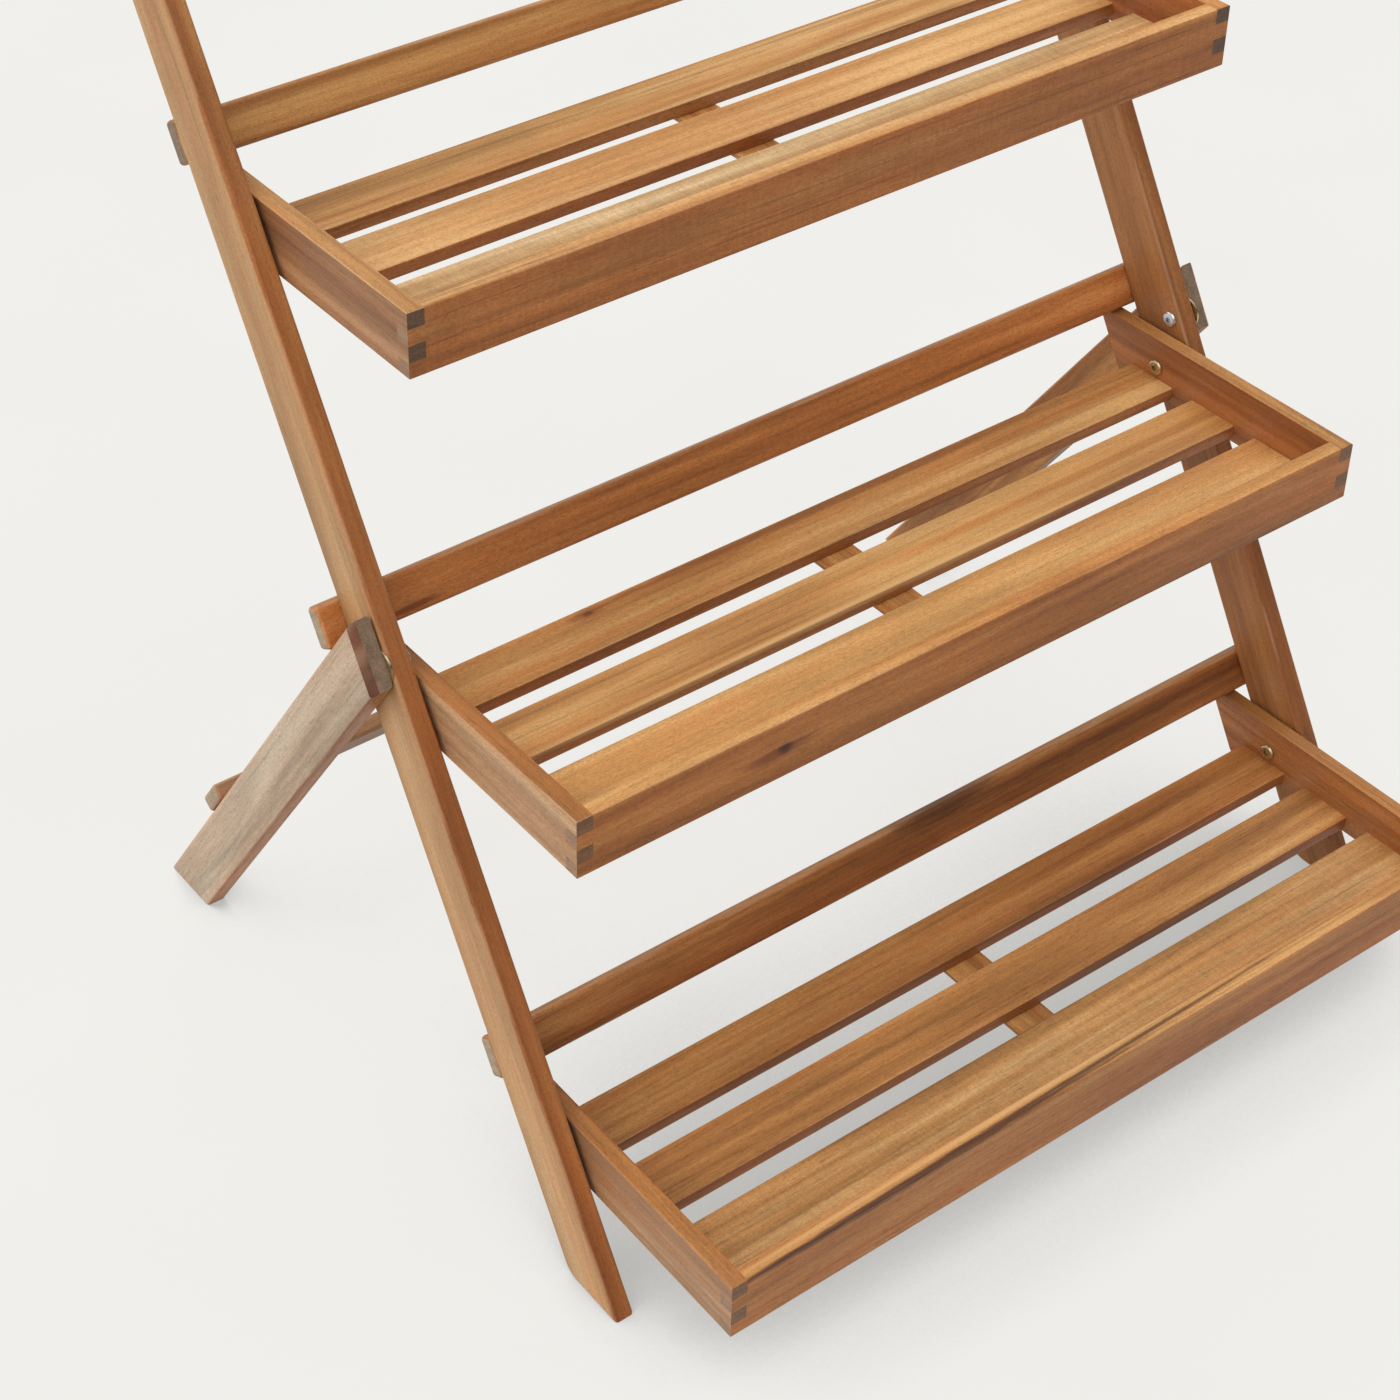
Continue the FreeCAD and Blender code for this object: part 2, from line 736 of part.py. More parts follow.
# Screws of the rails and of the crossbar.
rail_screw = wood_screw("rail_screw_seed", size.screw_diameter, size.screw_head_diameter,
                        size.screw_head_height, size.rail_thickness + size.screw_grip)
rail_screw_spots = []
for along in rail_along:
    for row in screw_rows:
        spot = (leg_y(rail_back, along + row) + shift, leg_z(rail_back, along + row))
        for side in (LEFT, RIGHT):
            across = side * (leg_inner + leg_middle)
            rail_screw_spots.append(((across,) + spot, X_AXIS, -lean))
group("back_rail_screws", rail_screw, rail_screw_spots)
crossbar_screw_spots = []
for row in screw_rows:
    along = crossbar_along + row
    across_leg = rear_edge + size.rail_thickness
    spot = (rear_y(across_leg, along) + shift, rear_z(across_leg, along))
    for side in (LEFT, RIGHT):
        across = side * (rear_inner + leg_middle)
        crossbar_screw_spots.append(((across,) + spot, X_AXIS, rear_lean))
group("crossbar_screws", rail_screw, crossbar_screw_spots)

# Dowels and batten screws of each shelf.
dowel = slat_dowel("dowel_seed")
batten_screw = wood_screw("batten_screw_seed", size.small_screw_diameter,
                          size.small_screw_head_diameter, size.small_screw_head_height,
                          size.batten_thickness + size.small_screw_grip)
for index, tier in enumerate(TIERS):
    dowel_spots = []
    screw_spots = []
    for number in range(SLATS):
        face = shelf_front[index] + shift
        level = shelf_base[index] + slat_base
        for side in (LEFT, RIGHT):
            for row in dowel_rows(number):
                spot = (side * board_span / 2, face + row, level + size.slat_thickness / 2)
                dowel_spots.append((spot,) + facing(side))
            spot = (side * size.small_screw_spread / 2, face + slat_centre(number),
                    level - size.batten_thickness)
            screw_spots.append((spot, X_AXIS, -QUARTER))
    group(tier + "_shelf_slat_dowels", dowel, dowel_spots)
    group(tier + "_shelf_batten_screws", batten_screw, screw_spots)

doc.recompute()
for item in doc.Objects:
    if "Invalid" in item.State or "Error" in item.State:
        raise RuntimeError("%s did not build: %s" % (item.Label, item.State))
for label, item in nodes.items():
    if item.Shape.isNull() or not item.Shape.isValid():
        raise RuntimeError("%s has no valid shape" % label)

os.makedirs("parts", exist_ok=True)
for label, item in nodes.items():
    item.Shape.exportStep("parts/%s.step" % label)
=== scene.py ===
import math

import bpy
from mathutils import Matrix, Vector


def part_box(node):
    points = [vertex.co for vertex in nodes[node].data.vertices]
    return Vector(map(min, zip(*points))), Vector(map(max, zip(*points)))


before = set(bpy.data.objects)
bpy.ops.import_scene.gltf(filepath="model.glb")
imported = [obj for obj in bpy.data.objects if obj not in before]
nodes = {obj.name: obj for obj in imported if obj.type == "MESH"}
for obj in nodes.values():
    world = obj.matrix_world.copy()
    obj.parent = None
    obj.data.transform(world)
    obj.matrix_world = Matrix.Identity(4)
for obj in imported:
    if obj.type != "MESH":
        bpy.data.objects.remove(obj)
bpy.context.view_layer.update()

# Leans of the front and rear frames from upright.
LEAN = math.radians(31)
REAR_LEAN = math.radians(35)
QUARTER = math.radians(90)

# Turns that bring a board's grain onto the texture's x axis and its faces square to it, and the grain.
GRAINS = {
    "x": ((0, 0, 0), (1, 0, 0)),
    "x_leaning": ((LEAN, 0, 0), (1, 0, 0)),
    "x_rear": ((-REAR_LEAN, 0, 0), (1, 0, 0)),
    "y": ((0, 0, -QUARTER), (0, 1, 0)),
    "front_leg": ((LEAN, QUARTER, 0), (0, math.sin(LEAN), math.cos(LEAN))),
    "rear_leg": ((-REAR_LEAN, QUARTER, 0), (0, -math.sin(REAR_LEAN), math.cos(REAR_LEAN))),
}

# Directions in which a board's faces get another palette: faces to the left are painted paler and greyer as
# light and sheen from the left, tops are painted lighter as light from above, slat fronts are painted darker
# as shade between the slats, and the rear leg's bevel is darker.
LEFTWARD = Vector((-1, 0, 0))
FORWARD = Vector((0, -1, 0))
UPWARD = Vector((0, 0, 1))
RAIL_UPWARD = Vector((0, math.sin(LEAN), math.cos(LEAN)))
LEG_END = Vector((0, -math.cos(LEAN), math.sin(LEAN)))
BEVELLED = (LEFTWARD + LEG_END).normalized()
# Cosines between which a face goes over to its other palette, or an end to end grain.
FACE_RANGE = (0.75, 0.95)
END_RANGE = (0.70, 0.90)


def linear(red, green, blue):
    """Linear colour from screen values of 0 to 255, by the sRGB curve."""
    def part(value):
        value = value / 255
        return value / 12.92 if value <= 0.04045 else ((value + 0.055) / 1.055) ** 2.4
    return (part(red), part(green), part(blue))


# Dark, middle and light tone of each kind of board, and where they stand on the scale of the grain.
WOODS = {
    "amber": (linear(130, 80, 38), linear(166, 109, 57), linear(196, 142, 82)),
    "gold": (linear(142, 91, 46), linear(178, 121, 66), linear(206, 156, 96)),
    "honey": (linear(161, 107, 56), linear(191, 135, 77), linear(212, 163, 103)),
    "wheat": (linear(178, 126, 71), linear(199, 147, 88), linear(215, 169, 110)),
    "oat": (linear(148, 103, 57), linear(179, 129, 75), linear(205, 161, 107)),
    "straw": (linear(154, 114, 70), linear(184, 145, 97), linear(212, 178, 134)),
    "chestnut": (linear(142, 84, 40), linear(174, 108, 54), linear(196, 134, 74)),
    "rose": (linear(144, 93, 54), linear(172, 114, 64), linear(194, 138, 86)),
    "russet": (linear(124, 70, 36), linear(154, 93, 49), linear(178, 118, 68)),
    "sienna": (linear(132, 77, 38), linear(163, 100, 52), linear(186, 126, 72)),
    "walnut": (linear(114, 66, 32), linear(158, 97, 49), linear(194, 137, 80)),
    "copper": (linear(152, 90, 44), linear(186, 116, 60), linear(208, 142, 82)),
    "mahogany": (linear(84, 46, 26), linear(106, 58, 34), linear(130, 78, 50)),
    "cocoa": (linear(116, 66, 32), linear(146, 88, 45), linear(170, 112, 64)),
    "tan": (linear(164, 118, 74), linear(185, 139, 91), linear(202, 160, 114)),
    "fawn": (linear(130, 92, 62), linear(158, 115, 79), linear(186, 148, 112)),
    "sand": (linear(162, 120, 85), linear(191, 148, 107), linear(212, 175, 136)),
    "bark": (linear(118, 78, 51), linear(147, 102, 66), linear(176, 133, 94)),
    "drift": (linear(160, 136, 112), linear(189, 163, 137), linear(210, 189, 167)),
    "beech": (linear(176, 140, 98), linear(200, 168, 124), linear(218, 190, 150)),
}
TONE_STOPS = (0.36, 0.5, 0.64)
# Dark and light tone of sawn ends, and where they stand.
ENDS = {
    "brown": (linear(104, 70, 44), linear(138, 98, 66)),
    "dark": (linear(78, 56, 38), linear(112, 84, 60)),
    "dun": (linear(130, 98, 71), linear(162, 127, 96)),
    "grey": (linear(112, 90, 72), linear(146, 122, 100)),
    "pale": (linear(140, 116, 92), linear(176, 152, 124)),
}
END_STOPS = (0.35, 0.65)
# Tints of rubbed edges with their painted highlight, knots and streaks.
RUB_AND_HIGHLIGHT_TINT = linear(206, 172, 134)
UMBER = linear(70, 38, 22)
RED_BROWN = linear(124, 62, 32)
CREAM = linear(222, 180, 122)

# Noises of the wood: the squeeze along and across the grain, then each noise's own settings.
TEXTURES = {
    "bands": ((0.05, 1, 1), {"scale": 42, "distortion": 0.6}),
    "streaks": ((0.02, 1, 1), {"scale": 130, "roughness": 0.55, "distortion": 0.2}),
    "fibres": ((0.07, 1, 1), {"scale": 620, "roughness": 0.65}),
    "lines": ((0.012, 1, 1), {"scale": 380, "detail": 1.0, "distortion": 0.1}),
    "pores": ((0.16, 1, 1), {"scale": 1000, "detail": 1.0}),
    "specks": ((0.35, 1, 1), {"scale": 1500, "detail": 0.0}),
    "blotches": ((0.35, 1, 1), {"scale": 26, "detail": 1.0}),
    "flush": ((0.04, 1, 1), {"scale": 58, "detail": 1.0, "distortion": 0.3}),
    "chatter": ((1, 0.12, 0.12), {"scale": 420, "detail": 1.0}),
    "rub_and_highlight_patches": ((0.4, 1, 1), {"scale": 36, "detail": 1.0}),
    "speckle": ((1, 1, 1), {"scale": 700, "roughness": 0.6}),
    "growth": ((1, 0.25, 1), {"scale": 240, "detail": 1.0}),
}
# Shares of the noises in the tone of the grain, in the tone of sawn ends, and in the ragged edge of marks.
TONE_SHARES = {"bands": 0.61, "streaks": 0.24, "fibres": 0.15}
END_SHARES = {"speckle": 0.6, "growth": 0.4}
RAGGED_SHARES = {"streaks": 0.7, "fibres": 0.5}
# Noises that shade the wood: the range of the noise, and the factors at its two ends.
SHADES = {
    "pores": ((0.56, 0.74), (1.0, 0.76)),
    "specks": ((0.25, 0.75), (0.88, 1.12)),
    "blotches": ((0.30, 0.70), (0.93, 1.07)),
}
# Ranges of two noises whose depth each board sets: dark lines, and marks of the planer.
LINE_RANGE = (0.57, 0.70)
CHATTER_RANGE = (0.35, 0.65)
# Drift of the hue from yellow to red.
FLUSH_STOPS = (0.35, 0.68)
FLUSH_TINTS = ((0.97, 1.02, 1.04), (1.04, 0.96, 0.90))
# Rubbed edges, partly wear and partly a painted highlight on the rounded arrises: how squarely the rounding
# faces a side, where the patches lie, and how much they show.
ROUNDING_RANGE = (0.82, 0.985)
RUB_AND_HIGHLIGHT_RANGE = (0.42, 0.62)
RUB_AND_HIGHLIGHT_SHARE = 0.3
# A mark is whole in its core and fades out towards its radius.
MARK_RANGE = (0.3, 1.0)
# Satin finish: roughness over the range of the fibres, gloss, and relief in metres.
FIBRE_RANGE = (0.3, 0.7)
ROUGHNESS_RANGE = (0.54, 0.42)
GLOSS = 0.38
RELIEF_STRENGTH = 0.12
RELIEF_HEIGHT = 0.0006
# Where the boards start in the block of wood, and the step from board to board, in metres.
BLOCK_START = (0, 0.083, 0.061)
BLOCK_STEP = (0.731, 0.217, 0.139)


class Graph:
    """Short notation for building a material's node tree."""

    def __init__(self, name):
        self.material = bpy.data.materials.new(name)
        self.material.use_nodes = True
        self.tree = self.material.node_tree
        self.shader = self.tree.nodes["Principled BSDF"]
        self.coordinates = self.add("ShaderNodeTexCoord")

    def add(self, kind, **settings):
        node = self.tree.nodes.new(kind)
        for key, value in settings.items():
            setattr(node, key, value)
        return node

    def link(self, source, target):
        self.tree.links.new(source, target)

    def feed(self, socket, value):
        """Link an output to the socket, or set the socket to a plain value."""
        if hasattr(value, "is_output"):
            self.link(value, socket)
        else:
            socket.default_value = value

    def math(self, operation, first, second=0.0):
        node = self.add("ShaderNodeMath", operation=operation)
        self.feed(node.inputs[0], first)
        self.feed(node.inputs[1], second)
        return node.outputs[0]

    def vector_math(self, operation, first, second=None, output=0):
        node = self.add("ShaderNodeVectorMath", operation=operation)
        self.feed(node.inputs[0], first)
        if second is not None:
            self.feed(node.inputs[1], second)
        return node.outputs[output]

    def noise(self, vector, scale, detail=2.0, roughness=0.5, distortion=0.0):
        node = self.add("ShaderNodeTexNoise")
        self.link(vector, node.inputs["Vector"])
        node.inputs["Scale"].default_value = scale
        node.inputs["Detail"].default_value = detail
        node.inputs["Roughness"].default_value = roughness
        node.inputs["Distortion"].default_value = distortion
        return node.outputs[0]

    def span(self, value, source, target=(0.0, 1.0), curve="SMOOTHSTEP"):
        """Carry a value from one range to another, held at the ends."""
        node = self.add("ShaderNodeMapRange", interpolation_type=curve)
        self.link(value, node.inputs["Value"])
        node.inputs["From Min"].default_value = source[0]
        node.inputs["From Max"].default_value = source[1]
        node.inputs["To Min"].default_value = target[0]
        node.inputs["To Max"].default_value = target[1]
        return node.outputs[0]

    def ramp(self, value, places, colours):
        node = self.add("ShaderNodeValToRGB")
        self.link(value, node.inputs[0])
        elements = node.color_ramp.elements
        while len(elements) < len(places):
            elements.new(1.0)
        for element, place, colour in zip(elements, places, colours):
            element.position = place
            element.color = (*colour, 1.0)
        return node.outputs[0]

    def mix(self, factor, first, second, blend="MIX"):
        node = self.add("ShaderNodeMix", data_type="RGBA", blend_type=blend)
        self.feed(node.inputs["Factor"], factor)
        self.feed(node.inputs["A"], first)
        self.feed(node.inputs["B"], second)
        return node.outputs["Result"]

    def shaded(self, colour, shade):
        """Colour made lighter or darker by a factor."""
        return self.mix(1.0, colour, shade, "MULTIPLY")


class Timber(Graph):
    """Oiled wood cut from a block whose grain runs along the texture's x axis."""

    def __init__(self, name, grain, offset):
        super().__init__(name)
        self.turn, self.direction = GRAINS[grain]
        mapping = self.add("ShaderNodeMapping", vector_type="POINT")
        self.link(self.coordinates.outputs["Object"], mapping.inputs["Vector"])
        mapping.inputs["Rotation"].default_value = self.turn
        mapping.inputs["Location"].default_value = offset
        self.place = mapping.outputs[0]
        self.made = {}

    def texture(self, kind):
        """One of the wood's noises, made when first asked for."""
        if kind not in self.made:
            squeeze, settings = TEXTURES[kind]
            squeezed = self.vector_math("MULTIPLY", self.place, squeeze)
            self.made[kind] = self.noise(squeezed, **settings)
        return self.made[kind]

    def blend(self, shares):
        """Sum of noises, each with its share."""
        total = 0.0
        for kind, share in shares.items():
            total = self.math("ADD", self.math("MULTIPLY", self.texture(kind), share), total)
        return total

    def facing(self, way):
        """How far the surface faces one way, from the board's own normal."""
        return self.vector_math("DOT_PRODUCT", self.coordinates.outputs["Normal"], way, "Value")

    def grain_colour(self, wood, faces):
        """Tones of the grain, with chosen faces in another palette: painted light and sheen on left faces and
        tops, painted shade on slat fronts, a darker bevel on the rear leg.
        """
        tone = self.blend(TONE_SHARES)
        colour = self.ramp(tone, TONE_STOPS, WOODS[wood])
        for way, kind in faces:
            shown = self.span(self.facing(way), FACE_RANGE)
            colour = self.mix(shown, colour, self.ramp(tone, TONE_STOPS, WOODS[kind]))
        return colour

    def figured(self, colour, figure, chatter):
        """Dark lines, pores, specks, blotches, a drift of the hue and the faint marks of the planer."""
        lines = self.span(self.texture("lines"), LINE_RANGE, (1.0, 1.0 - figure))
        colour = self.shaded(colour, lines)
        for kind, (source, target) in SHADES.items():
            colour = self.shaded(colour, self.span(self.texture(kind), source, target))
        colour = self.shaded(colour, self.ramp(self.texture("flush"), FLUSH_STOPS, FLUSH_TINTS))
        if chatter:
            marks = self.span(self.texture("chatter"), CHATTER_RANGE, (1.0 - chatter, 1.0 + chatter))
            colour = self.shaded(colour, marks)
        return colour

    def rubbed_and_highlit(self, colour):
        """Paler in patches where the arrises are rubbed round and face no one way squarely: partly wear,
        partly a painted highlight.
        """
        turned = self.add("ShaderNodeMapping", vector_type="VECTOR")
        self.link(self.coordinates.outputs["Normal"], turned.inputs["Vector"])
        turned.inputs["Rotation"].default_value = self.turn
        sides = self.add("ShaderNodeSeparateXYZ")
        self.link(self.vector_math("ABSOLUTE", turned.outputs[0]), sides.inputs[0])
        squarest = self.math("MAXIMUM", sides.outputs["X"], sides.outputs["Y"])
        squarest = self.math("MAXIMUM", squarest, sides.outputs["Z"])
        rounding = self.span(squarest, ROUNDING_RANGE, (1.0, 0.0))
        patches = self.span(self.texture("rub_and_highlight_patches"), RUB_AND_HIGHLIGHT_RANGE)
        wear_and_highlight = self.math("MULTIPLY", rounding, patches)
        return self.mix(self.math("MULTIPLY", wear_and_highlight, RUB_AND_HIGHLIGHT_SHARE), colour, (*RUB_AND_HIGHLIGHT_TINT, 1.0))

    def marked(self, colour, marks):
        """Knots and streaks: ellipsoids with ragged edges, each drifting across as it runs along x."""
        ragged = self.blend(RAGGED_SHARES)
        middle = sum(RAGGED_SHARES.values()) / 2
        for centre, radii, drift, strength, tint in marks:
            away = self.vector_math("SUBTRACT", self.coordinates.outputs["Object"], centre)
            apart = self.add("ShaderNodeSeparateXYZ")
            self.link(away, apart.inputs[0])
            swerve = self.add("ShaderNodeCombineXYZ")
            self.link(self.math("MULTIPLY", apart.outputs["X"], drift), swerve.inputs["Y"])
            away = self.vector_math("SUBTRACT", away, swerve.outputs[0])
            spread = self.vector_math("DIVIDE", away, radii)
            reach = self.vector_math("LENGTH", spread, output="Value")
            reach = self.math("ADD", reach, self.math("SUBTRACT", ragged, middle))
            shown = self.span(reach, MARK_RANGE, (strength, 0.0))
            colour = self.mix(shown, colour, (*tint, 1.0))
        return colour

    def sawn(self, colour, end):
        """Duller end grain where the surface faces along the grain."""
        end_colour = self.ramp(self.blend(END_SHARES), END_STOPS, ENDS[end])
        shown = self.span(self.math("ABSOLUTE", self.facing(self.direction)), END_RANGE)
        return self.mix(shown, colour, end_colour)

    def oiled(self, colour):
        """Satin finish with the fibres standing a little proud."""
        fibres = self.texture("fibres")
        self.link(colour, self.shader.inputs["Base Color"])
        self.link(self.span(fibres, FIBRE_RANGE, ROUGHNESS_RANGE), self.shader.inputs["Roughness"])
        self.shader.inputs["Specular IOR Level"].default_value = GLOSS
        bump = self.add("ShaderNodeBump")
        bump.inputs["Strength"].default_value = RELIEF_STRENGTH
        bump.inputs["Distance"].default_value = RELIEF_HEIGHT
        self.link(fibres, bump.inputs["Height"])
        self.link(bump.outputs[0], self.shader.inputs["Normal"])


def timber(name, grain, number, wood, end="brown", faces=(), figure=0.2, chatter=0.0, marks=()):
    """Material of one board; its number sets the place in the block from which it is cut."""
    offset = tuple(start + step * number for start, step in zip(BLOCK_START, BLOCK_STEP))
    graph = Timber(name, grain, offset)
    colour = graph.grain_colour(wood, faces)
    colour = graph.figured(colour, figure, chatter)
    colour = graph.rubbed_and_highlit(colour)
    colour = graph.marked(colour, marks)
    colour = graph.sawn(colour, end)
    graph.oiled(colour)
    return graph.material


# Clouding of plated metal: its noise, where its two tones stand, and how much rougher the worn parts are.
CLOUDS = {"scale": 420, "detail": 3.0, "roughness": 0.6, "distortion": 0.3}
CLOUD_STOPS = (0.35, 0.7)
WORN_RANGE = (0.3, 0.7)
WORN_ROUGHER = 0.12


def plated(name, base, tint, roughness):
    """Zinc or brass: metal with faint cloudy variation."""
    graph = Graph(name)
    clouds = graph.noise(graph.coordinates.outputs["Object"], **CLOUDS)
    graph.link(graph.ramp(clouds, CLOUD_STOPS, (base, tint)), graph.shader.inputs["Base Color"])
    graph.shader.inputs["Metallic"].default_value = 1.0
    worn = graph.span(clouds, WORN_RANGE, (roughness, roughness + WORN_ROUGHER))
    graph.link(worn, graph.shader.inputs["Roughness"])
    return graph.material


def give(node, material):
    """Make the material a node's only one."""
    mesh = nodes[node].data
    mesh.materials.clear()
    mesh.materials.append(material)


def spot(node, shares):
    """Point at the given shares of a board's box, from its low corner."""
    low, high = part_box(node)
    return tuple(start + share * (stop - start) for start, stop, share in zip(low, high, shares))


def mark(shares, radii, tint, strength, drift=0.0):
    """Knot or streak, at shares of its board's box, with radii in metres."""
    return shares, radii, drift, strength, tint


boards = []


def board(node, grain, wood, end="brown", faces=(), marks=(), **looks):
    """Cut one board from the block, with its marks in place."""
    boards.append(node)
    placed = [(spot(node, shares), *rest) for shares, *rest in marks]
    give(node, timber("acacia_" + node, grain, len(boards), wood, end, faces, marks=placed, **looks))


# Front and rear legs; the left faces of the front legs get paler, greyer palettes, painted light and sheen
# from the left, and the left rear leg's outer face takes the grey drift palette, partly weathering and partly
# painted light and sheen from the left.
board("front_leg_left", "front_leg", "sienna", "grey", [(LEFTWARD, "tan")], figure=0.1)
board("front_leg_right", "front_leg", "russet", "grey", [(LEFTWARD, "rose")], figure=0.15)
board("rear_leg_left", "rear_leg", "chestnut", "grey", [(LEFTWARD, "drift"), (BEVELLED, "mahogany")],
      figure=0.15)
board("rear_leg_right", "rear_leg", "amber", "grey", figure=0.15)

# Cross rails: a dark patch on the bottom one, a red streak at the left of the middle one; the back rails'
# tops get gold, painted light from above.
PAINTED_LIGHT_RAIL_TOP = [(RAIL_UPWARD, "gold")]
dark_patch = mark((0.557, 0.523, 0.945), (0.070, 0.02, 0.007), UMBER, strength=0.7)
red_streak = mark((0.091, 0.080, 0.345), (0.030, 0.02, 0.0035), RED_BROWN, strength=0.85)
board("back_rail_bottom", "x_leaning", "walnut", "pale", PAINTED_LIGHT_RAIL_TOP, [dark_patch])
board("back_rail_middle", "x_leaning", "copper", "pale", PAINTED_LIGHT_RAIL_TOP, [red_streak], figure=0.15)
board("back_rail_top", "x_leaning", "amber", "grey", PAINTED_LIGHT_RAIL_TOP, figure=0.15)
board("rear_crossbar", "x_rear", "fawn", "pale", figure=0.15)

# Sides and battens of the shelf trays: wood, palette of the left one outside, and ends. The left ones'
# outsides are painted greyer with light and sheen from the left; the right ones' tops get gold, painted light
# from above.
SIDE_WOODS = {
    "bottom": ("amber", "fawn", "brown"),
    "middle": ("amber", "sand", "brown"),
    "top": ("oat", "bark", "dark"),
}
for tier, (wood, lit_outside, end) in SIDE_WOODS.items():
    board(tier + "_shelf_side_left", "y", wood, end, [(LEFTWARD, lit_outside)])
    board(tier + "_shelf_side_right", "y", "russet", end, [(UPWARD, "gold")])
    board(tier + "_shelf_centre_batten", "y", "gold")

# Front rails: streaks along the top of the bottom one, a knot in a red halo on the middle one; their tops get
# lighter palettes, painted light from above.
top_streaks = [
    mark((0.318, 0.790, 1.0), (0.36, 0.0026, 0.006), CREAM, strength=0.45, drift=0.014),
    mark((0.212, 0.117, 1.0), (0.30, 0.0030, 0.006), UMBER, strength=0.9, drift=0.010),
    mark((0.470, 0.499, 1.0), (0.30, 0.0022, 0.006), UMBER, strength=0.8, drift=0.014),
]
rail_knot = [
    mark((0.232, 0.0, 0.487), (0.045, 0.008, 0.009), RED_BROWN, strength=0.8),
    mark((0.239, 0.0, 0.509), (0.0090, 0.006, 0.0066), UMBER, strength=0.9),
]
board("bottom_shelf_front_rail", "x", "chestnut", "dun", [(UPWARD, "gold")], top_streaks)
board("middle_shelf_front_rail", "x", "chestnut", "dun", [(UPWARD, "honey")], rail_knot, figure=0.1)
board("top_shelf_front_rail", "x", "chestnut", "dun", [(UPWARD, "oat")], figure=0.3, chatter=0.04)

# Slats: a pale stripe on the middle tray's middle one, a red streak and a knot on its rear one; the fronts of
# the middle and rear slats are painted darker, as shade in the gaps between the slats.
SHADED_SLAT_FRONTS = [(FORWARD, "cocoa")]
pale_stripe = mark((0.421, 0.010, 0.992), (0.40, 0.005, 0.006), CREAM, strength=0.6)
slat_knot = [
    mark((0.579, 0.891, 0.992), (0.26, 0.006, 0.010), RED_BROWN, strength=0.5),
    mark((0.212, 0.824, 0.992), (0.020, 0.007, 0.006), RED_BROWN, strength=0.5),
    mark((0.212, 0.824, 0.992), (0.006, 0.0028, 0.006), UMBER, strength=0.6),
]
board("bottom_shelf_slat_front", "x", "oat", chatter=0.04)
board("bottom_shelf_slat_middle", "x", "gold", faces=SHADED_SLAT_FRONTS)
board("bottom_shelf_slat_rear", "x", "amber", faces=SHADED_SLAT_FRONTS)
board("middle_shelf_slat_front", "x", "wheat", figure=0.1)
board("middle_shelf_slat_middle", "x", "honey", faces=SHADED_SLAT_FRONTS, marks=[pale_stripe])
board("middle_shelf_slat_rear", "x", "honey", faces=SHADED_SLAT_FRONTS, marks=slat_knot)
board("top_shelf_slat_front", "x", "straw", figure=0.1, chatter=0.06)
board("top_shelf_slat_middle", "x", "oat", faces=SHADED_SLAT_FRONTS, figure=0.1)
board("top_shelf_slat_rear", "x", "oat", faces=SHADED_SLAT_FRONTS, figure=0.3)

# Fittings.
dowel = timber("beech_dowel", "x", len(boards) + 1, "beech", "pale")
bright = plated("bright_zinc", base=(0.58, 0.61, 0.66), tint=(0.78, 0.80, 0.83), roughness=0.22)
yellow = plated("yellow_zinc", base=(0.50, 0.42, 0.24), tint=(0.68, 0.60, 0.40), roughness=0.26)
brass = plated("insert_brass", base=(0.50, 0.36, 0.14), tint=(0.66, 0.50, 0.24), roughness=0.30)
for node in ("rear_pivot_bolts", "shelf_pivot_washers", "back_rail_screws", "crossbar_screws"):
    give(node, bright)
# The rear pivot washers get the darker yellow zinc: painted shade of their narrow gap and a painted
# reflection of the wood around them.
for node in ("shelf_pivot_bolts", "rear_pivot_washers"):
    give(node, yellow)
for node in ("shelf_pivot_inserts", "rear_pivot_inserts"):
    give(node, brass)
for tier in SIDE_WOODS:
    give(tier + "_shelf_slat_dowels", dowel)
    give(tier + "_shelf_batten_screws", bright)

# Floor: its size in metres, its two pale tones, and the grey that it is to the light that it throws back.
FLOOR_SIZE = 40
FLOOR_CLOUD_SCALE = 3
FLOOR_STOPS = (0.3, 0.7)
FLOOR_TONES = (linear(243, 242, 238), linear(245, 244, 240))
FLOOR_GREY = (0.5, 0.5, 0.49, 1.0)
FLOOR_ROUGHNESS = 0.9
# Soft shadow: how far it looks for shelter, to which side, and how dark the most sheltered places are.
SHELTER_SAMPLES = 12
SHELTER_REACH = 0.36
SHELTER_LEAN = (-0.15, 0, 0.99)
SHELTER_RANGE = (0.45, 0.72)
SHADOW_RANGE = (0.58, 1.0)
# Share of the pale tone in what the camera sees of the floor.
PALE_SHARE = 0.88


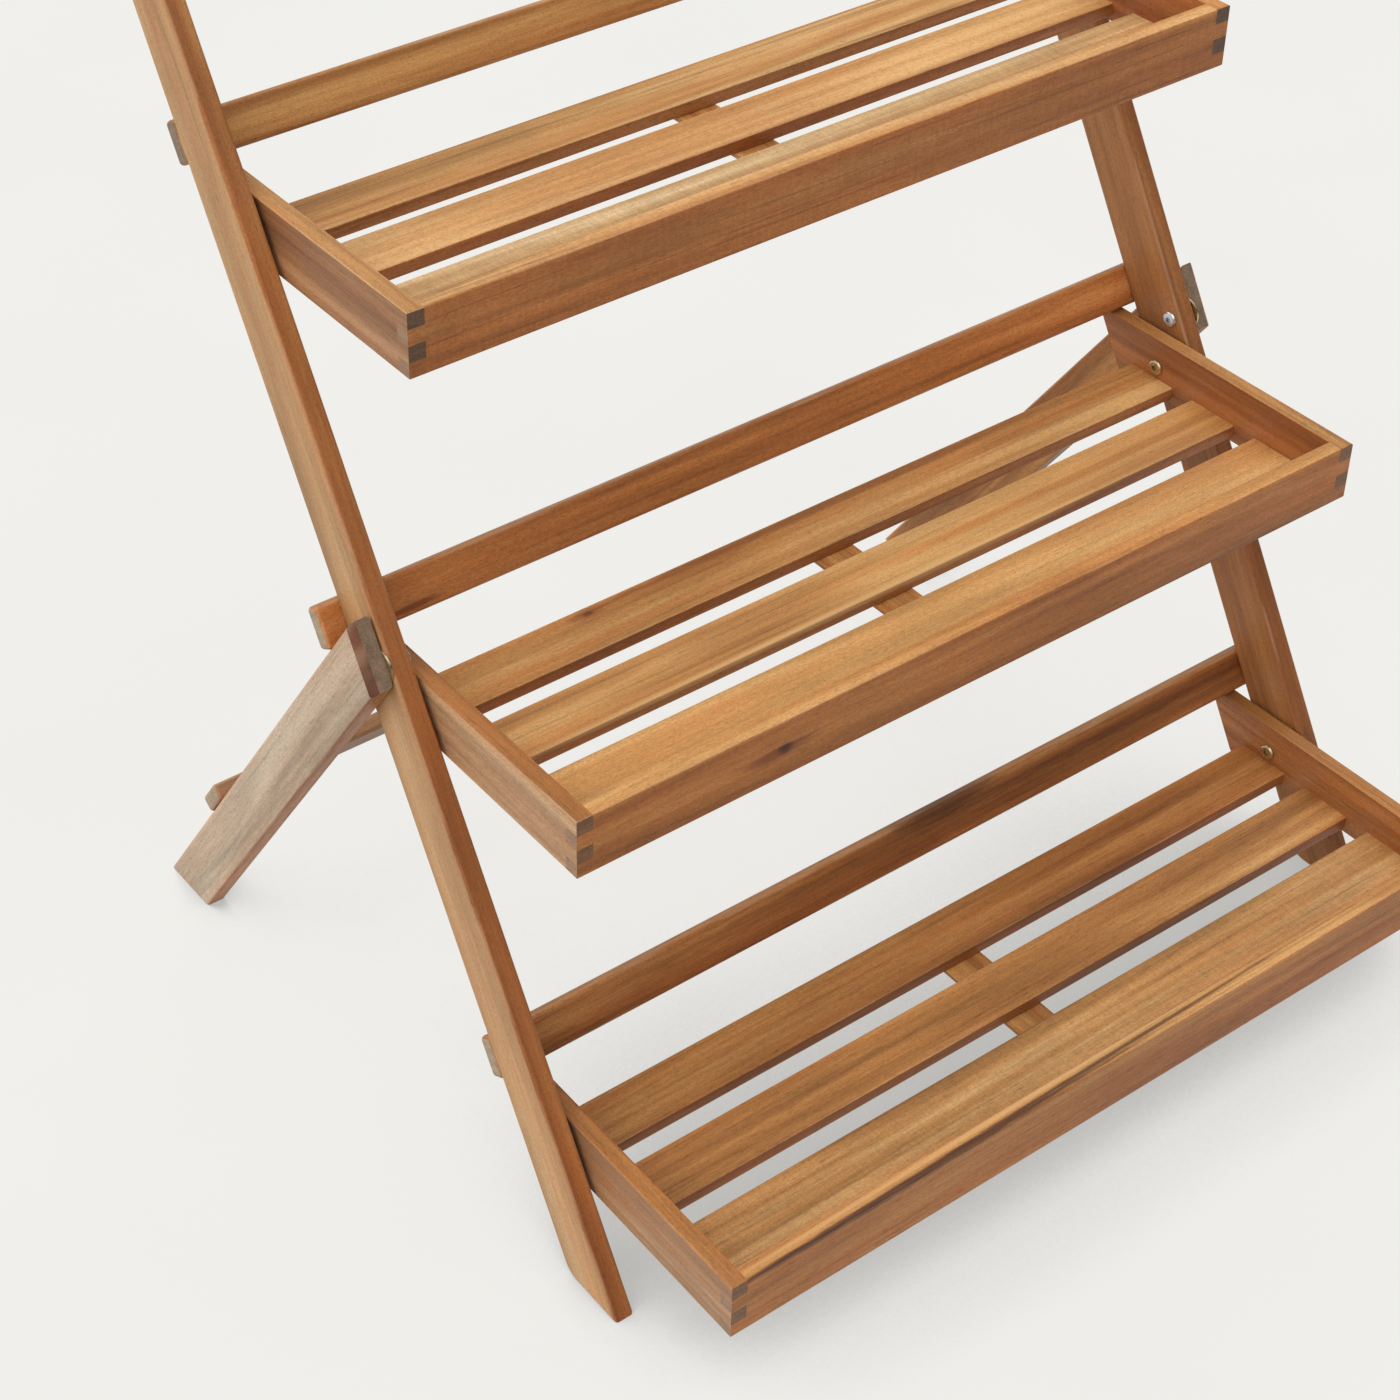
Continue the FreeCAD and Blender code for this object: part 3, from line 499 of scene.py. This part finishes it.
def pale_floor():
    """Pale to the eye, mid grey to the light it throws back, and it keeps the stand's soft shadow."""
    graph = Graph("pale_floor")
    clouds = graph.noise(graph.coordinates.outputs["Object"], FLOOR_CLOUD_SCALE)
    colour = graph.ramp(clouds, FLOOR_STOPS, FLOOR_TONES)
    rays = graph.add("ShaderNodeLightPath")
    seen = graph.math("MAXIMUM", rays.outputs["Is Camera Ray"], rays.outputs["Is Glossy Ray"])
    seen = graph.math("MAXIMUM", seen, rays.outputs["Is Transmission Ray"])
    shelter = graph.add("ShaderNodeAmbientOcclusion", samples=SHELTER_SAMPLES)
    shelter.inputs["Distance"].default_value = SHELTER_REACH
    lean = graph.add("ShaderNodeCombineXYZ")
    for socket, value in zip(lean.inputs, SHELTER_LEAN):
        socket.default_value = value
    graph.link(lean.outputs[0], shelter.inputs["Normal"])
    shadow = graph.span(shelter.outputs["AO"], SHELTER_RANGE, SHADOW_RANGE, curve="LINEAR")
    glow = graph.add("ShaderNodeEmission")
    graph.link(graph.shaded(colour, shadow), glow.inputs["Color"])
    graph.shader.inputs["Base Color"].default_value = FLOOR_GREY
    graph.shader.inputs["Roughness"].default_value = FLOOR_ROUGHNESS
    graph.shader.inputs["Specular IOR Level"].default_value = 0.0
    blend = graph.add("ShaderNodeMixShader")
    graph.link(graph.math("MULTIPLY", seen, PALE_SHARE), blend.inputs[0])
    graph.link(graph.shader.outputs[0], blend.inputs[1])
    graph.link(glow.outputs[0], blend.inputs[2])
    graph.link(blend.outputs[0], graph.tree.nodes["Material Output"].inputs["Surface"])
    return graph.material


bpy.ops.mesh.primitive_plane_add(size=FLOOR_SIZE, location=(0, 0, 0))
floor = bpy.context.object
floor.name = "floor"
floor.data.materials.append(pale_floor())

# Soft studio light: a pale surround, brightest from the upper left and dimmest across from it.
BRIGHTEST = Vector((-0.4, 0.1, 0.9)).normalized()
LIGHT_RANGE = (0.10, 2.0)
world = bpy.data.worlds.new("studio")
bpy.context.scene.world = world
world.use_nodes = True
tree = world.node_tree
sky = tree.nodes["Background"]
sky.inputs["Color"].default_value = (1.0, 1.0, 1.0, 1.0)
around = tree.nodes.new("ShaderNodeTexCoord")
towards = tree.nodes.new("ShaderNodeVectorMath")
towards.operation = "DOT_PRODUCT"
towards.inputs[1].default_value = BRIGHTEST
tree.links.new(around.outputs["Generated"], towards.inputs[0])
level = tree.nodes.new("ShaderNodeMapRange")
level.interpolation_type = "SMOOTHSTEP"
level.inputs["To Min"].default_value = LIGHT_RANGE[0]
level.inputs["To Max"].default_value = LIGHT_RANGE[1]
tree.links.new(towards.outputs["Value"], level.inputs["Value"])
tree.links.new(level.outputs[0], sky.inputs["Strength"])

# Camera at the photograph's place: heading from +y towards +x, pitch below level, and a slight roll.
PLACE = (-1.0658, -1.1925, 1.5039)
HEADING = math.radians(35.061)
PITCH = math.radians(36.016)
ROLL = math.radians(-0.780)
# Side of the photograph, focal length and centre of the view, in its pixels.
IMAGE_PIXELS = 1400
FOCAL_PIXELS = 2897.3
CENTRE_PIXELS = (553.9, 531.2)
camera_data = bpy.data.cameras.new("camera")
camera_data.lens = FOCAL_PIXELS / IMAGE_PIXELS * camera_data.sensor_width
camera_data.shift_x = (IMAGE_PIXELS / 2 - CENTRE_PIXELS[0]) / IMAGE_PIXELS
camera_data.shift_y = (CENTRE_PIXELS[1] - IMAGE_PIXELS / 2) / IMAGE_PIXELS
camera = bpy.data.objects.new("camera", camera_data)
turned = Matrix.Rotation(-HEADING, 4, "Z") @ Matrix.Rotation(QUARTER - PITCH, 4, "X")
camera.matrix_world = Matrix.Translation(PLACE) @ turned @ Matrix.Rotation(ROLL, 4, "Z")
bpy.context.scene.collection.objects.link(camera)
bpy.context.scene.camera = camera

bpy.context.scene.view_settings.view_transform = "Standard"
